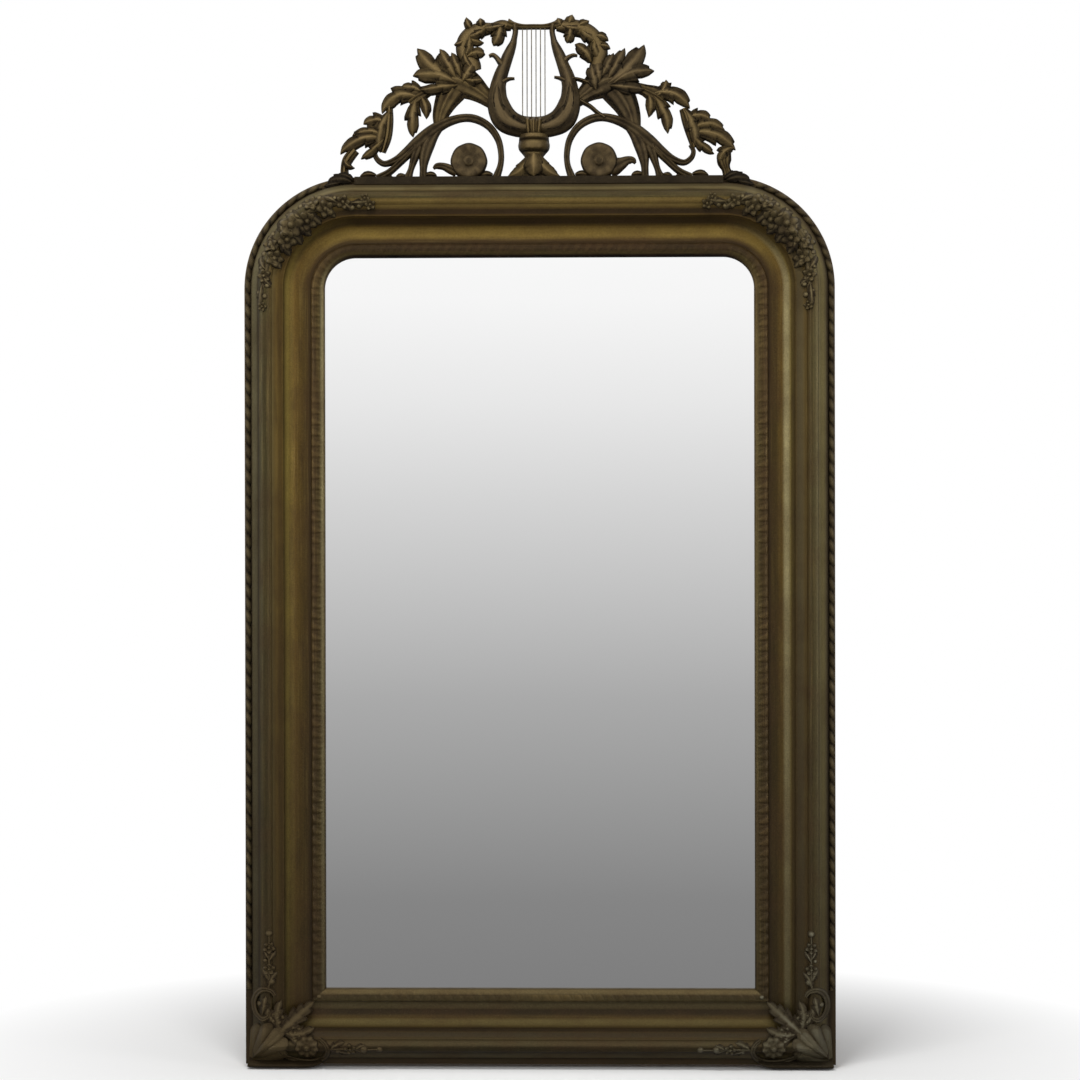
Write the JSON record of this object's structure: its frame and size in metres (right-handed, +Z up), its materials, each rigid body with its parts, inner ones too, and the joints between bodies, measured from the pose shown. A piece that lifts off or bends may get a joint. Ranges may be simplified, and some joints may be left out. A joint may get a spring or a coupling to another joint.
{
  "type": "pier mirror",
  "caption": "Tall giltwood pier mirror with rounded top corners, stepped moulding, rope edge and an openwork lyre crest with acanthus leaves; hangs on two hinged rings at the back.",
  "frame": {"origin": "middle of the lower edge of the wooden carcass, on its back face, which rests against the wall", "axes": "+X to the right of someone facing the mirror, +Y back towards the wall, +Z up; the glass faces -Y"},
  "size_m": [0.945, 0.0806, 1.6892],
  "materials": {
    "gilt_moulding": "aged gilding over gesso on wood, darkened by dirt, satin",
    "gilt_carving": "aged gilding on carved wood and composition, dark in the hollows",
    "pine": "old unfinished pine",
    "silvered_glass": "plain silvered plate",
    "iron": "dull blackened iron",
    "brass_wire": "dull drawn wire"
  },
  "bodies": {
    "frame": {"backboard_1": "pine", "backboard_2": "pine", "backboard_3": "pine", "backboard_4": "pine", "backboard_screws": "iron", "carcass_bottom_rail": "pine", "carcass_left_stile": "pine", "carcass_right_stile": "pine", "carcass_top_rail": "pine", "corner_cartouche_left": "gilt_carving", "corner_cartouche_right": "gilt_carving", "corner_spray_left": "gilt_carving", "corner_spray_right": "gilt_carving", "crest_back_block": "pine", "crest_base": "gilt_moulding", "crest_brace": "iron", "crest_dowels": "pine", "crest_end_left": "gilt_carving", "crest_end_right": "gilt_carving", "crown_spray_left": "gilt_carving", "crown_spray_right": "gilt_carving", "glazing_blocks": "pine", "hanger_strap_left": "iron", "hanger_strap_right": "iron", "iron_screws": "iron", "large_leaf_left": "gilt_carving", "large_leaf_right": "gilt_carving", "lower_sprig_left": "gilt_carving", "lower_sprig_right": "gilt_carving", "lyre_body": "gilt_carving", "lyre_strings": "brass_wire", "lyre_tie": "gilt_carving", "lyre_urn": "gilt_carving", "lyre_yoke": "gilt_carving", "mirror_glass": "silvered_glass", "moulding_bottom": "gilt_moulding", "moulding_corner_left": "gilt_moulding", "moulding_corner_right": "gilt_moulding", "moulding_left": "gilt_moulding", "moulding_right": "gilt_moulding", "moulding_top": "gilt_moulding", "rope_edge_corner_left": "gilt_moulding", "rope_edge_corner_right": "gilt_moulding", "rope_edge_left": "gilt_moulding", "rope_edge_right": "gilt_moulding", "rosette_left": "gilt_carving", "rosette_right": "gilt_carving", "scroll_left": "gilt_carving", "scroll_right": "gilt_carving", "sight_band_bottom": "gilt_moulding", "sight_band_corner_left": "gilt_moulding", "sight_band_corner_right": "gilt_moulding", "sight_band_left": "gilt_moulding", "sight_band_right": "gilt_moulding", "sight_band_top": "gilt_moulding", "upper_sprig_left": "gilt_carving", "upper_sprig_right": "gilt_carving"},
    "ring_left": {"hanger_ring_left": "iron"},
    "ring_right": {"hanger_ring_right": "iron"}
  },
  "joints": [
    {"name": "ring_left_swing", "type": "hinge", "parent": "frame", "child": "ring_left", "pos_m": [-0.4125, 0.0043, 1.131], "axis": [1, 0, 0], "range_deg": [0, 180]},
    {"name": "ring_right_swing", "type": "hinge", "parent": "frame", "child": "ring_right", "pos_m": [0.4125, 0.0043, 1.131], "axis": [1, 0, 0], "range_deg": [0, 180]}
  ]
}
